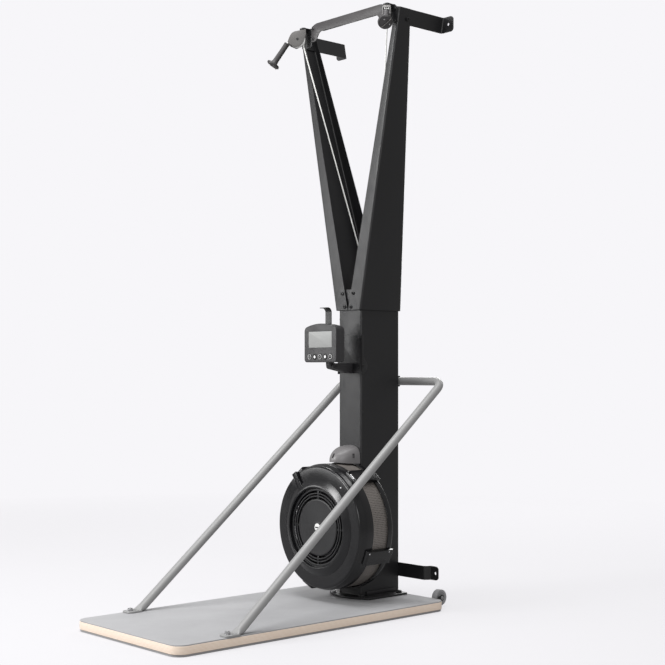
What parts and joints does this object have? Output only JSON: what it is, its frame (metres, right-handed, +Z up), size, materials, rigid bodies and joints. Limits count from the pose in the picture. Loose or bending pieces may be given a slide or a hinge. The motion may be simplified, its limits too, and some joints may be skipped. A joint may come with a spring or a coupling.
{
  "type": "ski trainer",
  "caption": "Standing pull trainer with a floor board, a column with spread arms, swivelling cord handles, an air flywheel, a bent rail and a monitor.",
  "frame": {"origin": "centre of the floor stand's underside, on the floor", "axes": "+Z up, -Y towards the user, +X to the user's right when facing the machine"},
  "size_m": [0.6857, 1.2758, 2.221],
  "materials": {
    "underlay_rubber": "matt",
    "board_birch": "clear lacquered birch ply",
    "mat_grey": "fine grained grip mat",
    "rail_grey": "light grey powder coat",
    "frame_black": "satin black powder coat",
    "crossbar_grey": "satin dark grey powder coat",
    "bolt_zinc": "zinc plated",
    "cover_black": "finely grained",
    "band_grey": "perforated",
    "fan_grey": "satin grey",
    "yoke_grey": "finely grained",
    "nylon_white": "satin",
    "cord_white": "braided",
    "grip_black": "matt with a fine grain",
    "button_rubber": "matt",
    "screen_grey": "grey display window",
    "wheel_grey": "matt grey"
  },
  "bodies": {
    "frame": {"floor_underlay": "underlay_rubber", "platform_board": "board_birch", "platform_mat": "mat_grey", "support_rail": "rail_grey", "rail_clamp": "frame_black", "rail_bolt_left": "bolt_zinc", "rail_bolt_right": "bolt_zinc", "wheel_bracket_left": "frame_black", "wheel_bracket_right": "frame_black", "base_plate": "frame_black", "column_shell": "frame_black", "column_back": "frame_black", "lower_wall_bracket": "frame_black", "arm_left": "frame_black", "arm_right": "frame_black", "splice_plate": "frame_black", "crossbar": "crossbar_grey", "swivel_mount_left": "frame_black", "swivel_mount_right": "frame_black", "wall_bracket_left": "frame_black", "wall_bracket_right": "frame_black", "drive_cord_left": "cord_white", "drive_cord_right": "cord_white", "cord_guide": "frame_black", "recoil_spring_left": "yoke_grey", "recoil_spring_right": "yoke_grey", "bearing_front": "bolt_zinc", "bearing_rear": "bolt_zinc", "front_cover": "cover_black", "intake_grille": "cover_black", "cage_band": "band_grey", "rear_housing": "cover_black", "flywheel_hood": "frame_black", "monitor_arm": "frame_black", "monitor_bracket": "frame_black"},
    "flywheel": {"flywheel_shaft": "bolt_zinc", "fan_wheel": "fan_grey"},
    "damper": {"damper_ring": "cover_black"},
    "monitor": {"monitor_case": "cover_black", "monitor_screen": "screen_grey"},
    "hook": {"device_hook": "frame_black"},
    "button_1": {"button_1": "button_rubber"},
    "button_2": {"button_2": "button_rubber"},
    "button_3": {"button_3": "button_rubber"},
    "button_4": {"button_4": "button_rubber"},
    "button_5": {"button_5": "button_rubber"},
    "yoke_left": {"yoke_left": "yoke_grey", "lead_cord_left": "cord_white"},
    "pulley_left": {"pulley_left": "nylon_white"},
    "handle_left": {"handle_left": "grip_black"},
    "drum_left": {"drive_drum_left": "nylon_white"},
    "guide_left": {"guide_roller_left": "nylon_white"},
    "wheel_left": {"transport_wheel_left": "wheel_grey"},
    "yoke_right": {"yoke_right": "yoke_grey", "lead_cord_right": "cord_white"},
    "pulley_right": {"pulley_right": "nylon_white"},
    "handle_right": {"handle_right": "grip_black"},
    "drum_right": {"drive_drum_right": "nylon_white"},
    "guide_right": {"guide_roller_right": "nylon_white"},
    "wheel_right": {"transport_wheel_right": "wheel_grey"}
  },
  "joints": [
    {"name": "swivel_left", "type": "hinge", "parent": "frame", "child": "yoke_left", "pos_m": [-0.23, 0.366, 2.164], "axis": [0, 0, 1], "range_deg": [-15, 80]},
    {"name": "handle_pull_left", "type": "slide", "parent": "yoke_left", "child": "handle_left", "axis": [-0.3749, -0.4149, -0.829], "range_m": [0, 1.1], "stiffness_N_per_m": 15, "springref_m": -1},
    {"name": "pulley_spin_left", "type": "hinge", "parent": "yoke_left", "child": "pulley_left", "pos_m": [-0.24609, 0.34819, 2.164], "axis": [0.742, -0.6704, 0], "range_deg": [-5, 2700]},
    {"name": "drum_spin_left", "type": "hinge", "parent": "frame", "child": "drum_left", "pos_m": [0, 0.525, 0.31], "axis": [0, 1, 0], "range_deg": [-5, 2950]},
    {"name": "guide_spin_left", "type": "hinge", "parent": "frame", "child": "guide_left", "pos_m": [-0.0385, 0.525, 1.19], "axis": [0, 1, 0], "range_deg": [-3900, 5]},
    {"name": "wheel_roll_left", "type": "hinge", "parent": "frame", "child": "wheel_left", "pos_m": [-0.228, 0.6408, 0.036], "axis": [1, 0, 0], "continuous": true},
    {"name": "swivel_right", "type": "hinge", "parent": "frame", "child": "yoke_right", "pos_m": [0.23, 0.366, 2.164], "axis": [0, 0, 1], "range_deg": [-80, 14]},
    {"name": "handle_pull_right", "type": "slide", "parent": "yoke_right", "child": "handle_right", "axis": [0.5416, -0.5869, -0.6018], "range_m": [0, 1.1], "stiffness_N_per_m": 15, "springref_m": -1},
    {"name": "pulley_spin_right", "type": "hinge", "parent": "yoke_right", "child": "pulley_right", "pos_m": [0.24628, 0.34836, 2.164], "axis": [0.7349, 0.6782, 0], "range_deg": [-5, 2700]},
    {"name": "drum_spin_right", "type": "hinge", "parent": "frame", "child": "drum_right", "pos_m": [0, 0.556, 0.31], "axis": [0, 1, 0], "range_deg": [-5, 2950]},
    {"name": "guide_spin_right", "type": "hinge", "parent": "frame", "child": "guide_right", "pos_m": [-0.0055, 0.556, 1.19], "axis": [0, 1, 0], "range_deg": [-5, 3900]},
    {"name": "wheel_roll_right", "type": "hinge", "parent": "frame", "child": "wheel_right", "pos_m": [0.228, 0.6408, 0.036], "axis": [1, 0, 0], "continuous": true},
    {"name": "flywheel_spin", "type": "hinge", "parent": "frame", "child": "flywheel", "pos_m": [0, 0.4, 0.31], "axis": [0, 1, 0], "continuous": true},
    {"name": "damper_turn", "type": "hinge", "parent": "frame", "child": "damper", "pos_m": [0, 0.236, 0.31], "axis": [0, 1, 0], "range_deg": [-12, 66]},
    {"name": "monitor_tilt", "type": "hinge", "parent": "frame", "child": "monitor", "pos_m": [0, 0.3045, 0.902], "axis": [1, 0, 0], "range_deg": [-20, 20]},
    {"name": "hook_lift", "type": "slide", "parent": "monitor", "child": "hook", "axis": [0, 0, 1], "range_m": [0, 0.05]},
    {"name": "button_1_press", "type": "slide", "parent": "monitor", "child": "button_1", "axis": [0, 1, 0], "range_m": [0, 0.0012], "stiffness_N_per_m": 600, "springref_m": -0.001},
    {"name": "button_2_press", "type": "slide", "parent": "monitor", "child": "button_2", "axis": [0, 1, 0], "range_m": [0, 0.0012], "stiffness_N_per_m": 600, "springref_m": -0.001},
    {"name": "button_3_press", "type": "slide", "parent": "monitor", "child": "button_3", "axis": [0, 1, 0], "range_m": [0, 0.0012], "stiffness_N_per_m": 600, "springref_m": -0.001},
    {"name": "button_4_press", "type": "slide", "parent": "monitor", "child": "button_4", "axis": [0, 1, 0], "range_m": [0, 0.0012], "stiffness_N_per_m": 600, "springref_m": -0.001},
    {"name": "button_5_press", "type": "slide", "parent": "monitor", "child": "button_5", "axis": [0, 1, 0], "range_m": [0, 0.0012], "stiffness_N_per_m": 600, "springref_m": -0.001}
  ],
  "couplings": [
    {"joint": "pulley_spin_left", "follows": "handle_pull_left", "rad_per_m": 41.667},
    {"joint": "drum_spin_left", "follows": "handle_pull_left", "rad_per_m": 45.455},
    {"joint": "guide_spin_left", "follows": "handle_pull_left", "rad_per_m": -60.606},
    {"joint": "pulley_spin_right", "follows": "handle_pull_right", "rad_per_m": 41.667},
    {"joint": "drum_spin_right", "follows": "handle_pull_right", "rad_per_m": 45.455},
    {"joint": "guide_spin_right", "follows": "handle_pull_right", "rad_per_m": 60.606}
  ]
}
